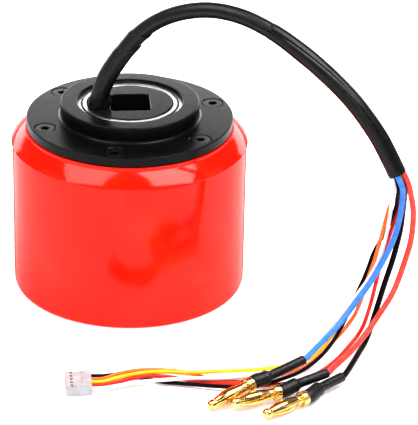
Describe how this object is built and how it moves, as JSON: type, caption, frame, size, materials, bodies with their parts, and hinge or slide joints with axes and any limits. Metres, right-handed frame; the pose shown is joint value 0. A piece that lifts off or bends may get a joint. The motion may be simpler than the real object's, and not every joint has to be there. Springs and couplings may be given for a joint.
{
  "type": "brushless hub motor",
  "caption": "Outrunner hub motor with a red tyre over its rotor, a square socket in its fixed shaft, and a cable ending in gold bullet plugs and a small signal plug.",
  "frame": {"origin": "centre of the motor's closed side, at the tyre's flat edge it stands on", "axes": "+Z along the motor axis, towards the axle socket and cable; +X towards the side where the cable comes down; the plugs lie towards -Y"},
  "size_m": [0.1392, 0.1461, 0.1126],
  "materials": {
    "tyre": "gloss moulded polyurethane",
    "anodised_black": "black anodised, satin",
    "bearing_steel": "ground and polished steel",
    "screw_black": "black oxide steel",
    "yoke_steel": "turned mild steel",
    "magnet_nickel": "nickel plated",
    "lamination": "stacked sheet steel",
    "copper": "enamelled copper wire",
    "board_green": "circuit board",
    "sleeve_black": "satin heat-shrink and cable jacket",
    "wire_blue": "silicone insulation",
    "wire_red": "silicone insulation",
    "wire_black": "silicone insulation",
    "wire_orange": "silicone insulation",
    "wire_yellow": "silicone insulation",
    "wire_white": "silicone insulation",
    "gold": "gold plated",
    "housing_white": "moulded nylon"
  },
  "bodies": {
    "stator": {"shaft": "anodised_black", "stator_core": "lamination", "hall_board": "board_green", "cable_jacket": "sleeve_black", "base_sleeve": "sleeve_black", "end_sleeve": "sleeve_black", "signal_plug": "housing_white", "coil_01": "copper", "coil_02": "copper", "coil_03": "copper", "coil_04": "copper", "coil_05": "copper", "coil_06": "copper", "coil_07": "copper", "coil_08": "copper", "coil_09": "copper", "coil_10": "copper", "coil_11": "copper", "coil_12": "copper", "inboard_bearing_inner": "bearing_steel", "outboard_bearing_inner": "bearing_steel", "phase_wire_blue": "wire_blue", "plug_sleeve_blue": "sleeve_black", "bullet_plug_blue": "gold", "phase_wire_red": "wire_red", "plug_sleeve_red": "sleeve_black", "bullet_plug_red": "gold", "phase_wire_black": "wire_black", "plug_sleeve_black": "sleeve_black", "bullet_plug_black": "gold", "hall_wire_red": "wire_red", "hall_wire_orange": "wire_orange", "hall_wire_black": "wire_black", "hall_wire_yellow": "wire_yellow", "hall_wire_white": "wire_white"},
    "rotor": {"tyre": "tyre", "rotor_can": "anodised_black", "outboard_cover": "anodised_black", "flux_ring": "yoke_steel", "magnet_01": "magnet_nickel", "magnet_02": "magnet_nickel", "magnet_03": "magnet_nickel", "magnet_04": "magnet_nickel", "magnet_05": "magnet_nickel", "magnet_06": "magnet_nickel", "magnet_07": "magnet_nickel", "magnet_08": "magnet_nickel", "magnet_09": "magnet_nickel", "magnet_10": "magnet_nickel", "inboard_cover": "anodised_black", "cover_screw_1": "screw_black", "cover_screw_2": "screw_black", "cover_screw_3": "screw_black", "cover_screw_4": "screw_black", "cover_screw_5": "screw_black", "cover_screw_6": "screw_black", "inboard_bearing_outer": "bearing_steel", "inboard_bearing_shield": "bearing_steel", "outboard_bearing_outer": "bearing_steel"}
  },
  "joints": [
    {"name": "wheel_spin", "type": "hinge", "parent": "stator", "child": "rotor", "pos_m": [0, 0, 0.03], "axis": [0, 0, 1], "continuous": true}
  ]
}
